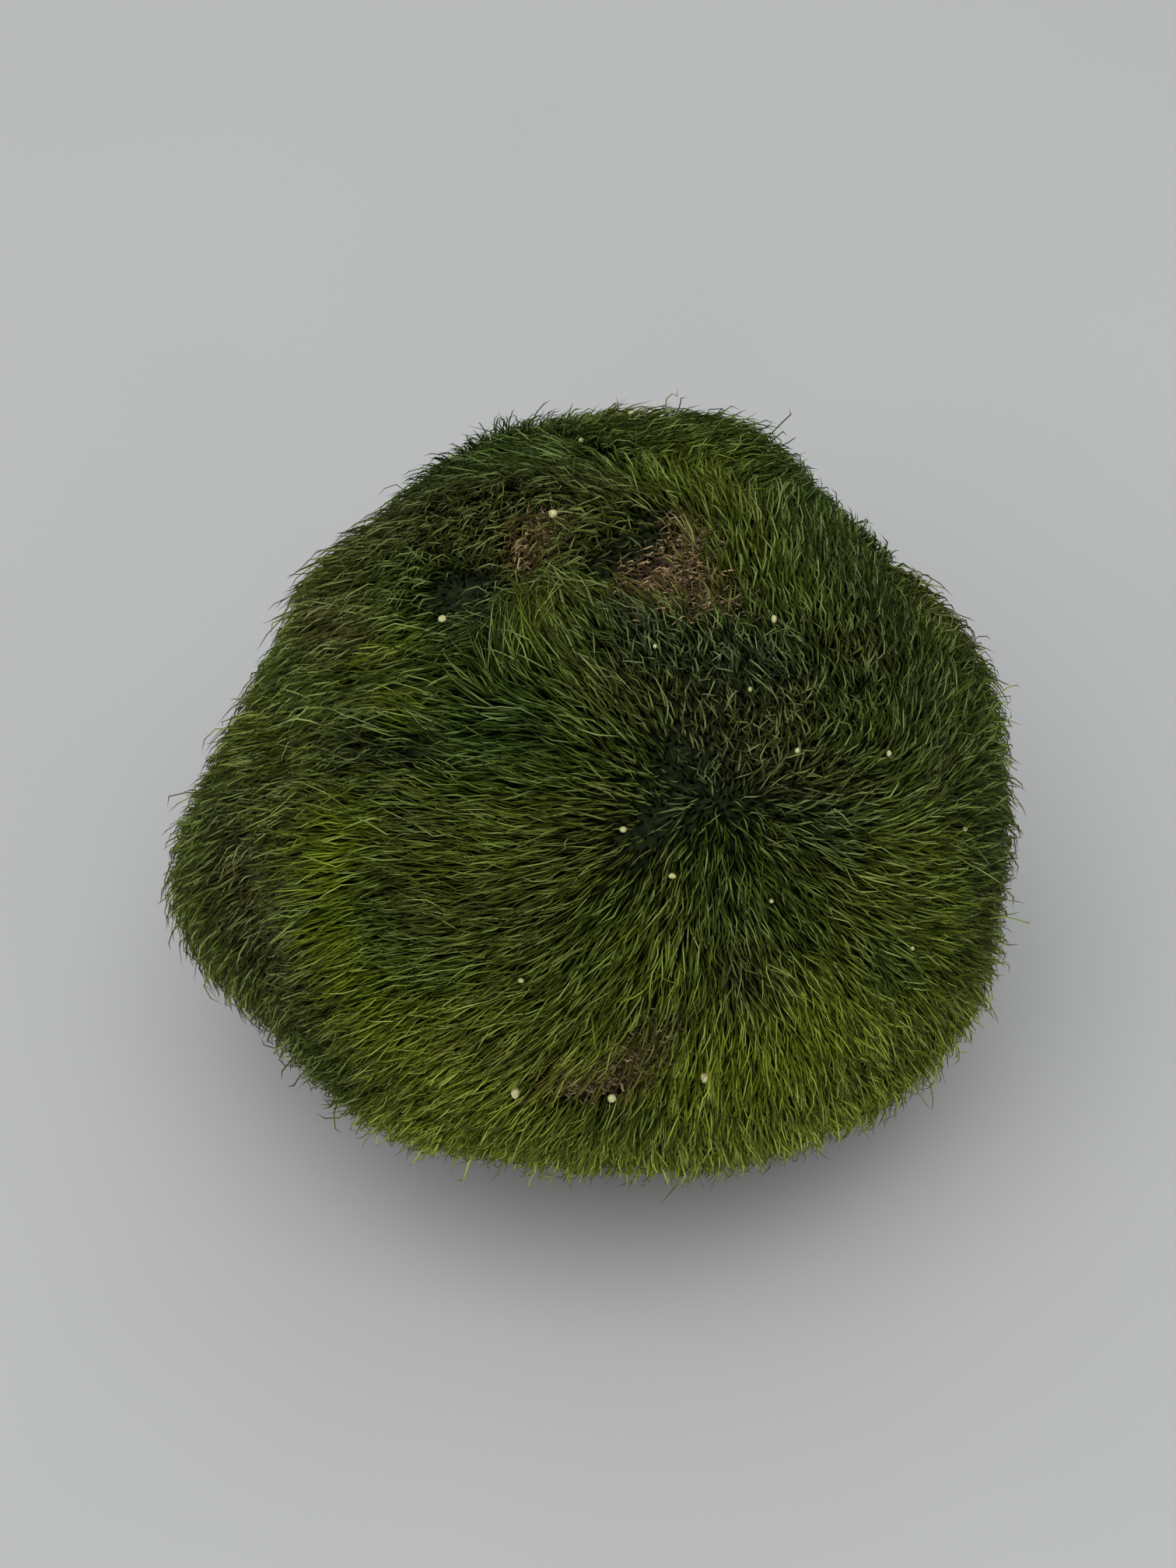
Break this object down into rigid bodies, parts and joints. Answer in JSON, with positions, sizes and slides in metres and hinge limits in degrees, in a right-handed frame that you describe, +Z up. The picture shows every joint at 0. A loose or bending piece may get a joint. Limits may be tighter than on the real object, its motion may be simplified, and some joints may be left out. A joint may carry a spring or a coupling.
{
  "type": "marimo moss ball",
  "caption": "Soft, slightly uneven ball of green filaments combed out from a whorl, flattened underneath where it rests.",
  "frame": {"origin": "on the surface that the ball rests on, under the middle of the ball", "axes": "+Z up, +X to the right seen from the front, the main whorl on the upper front towards -Y"},
  "size_m": [0.06, 0.057, 0.0535],
  "materials": {
    "moss": "matt, damp, fibrous"
  },
  "bodies": {
    "root": {"moss_ball": "moss"}
  },
  "joints": []
}
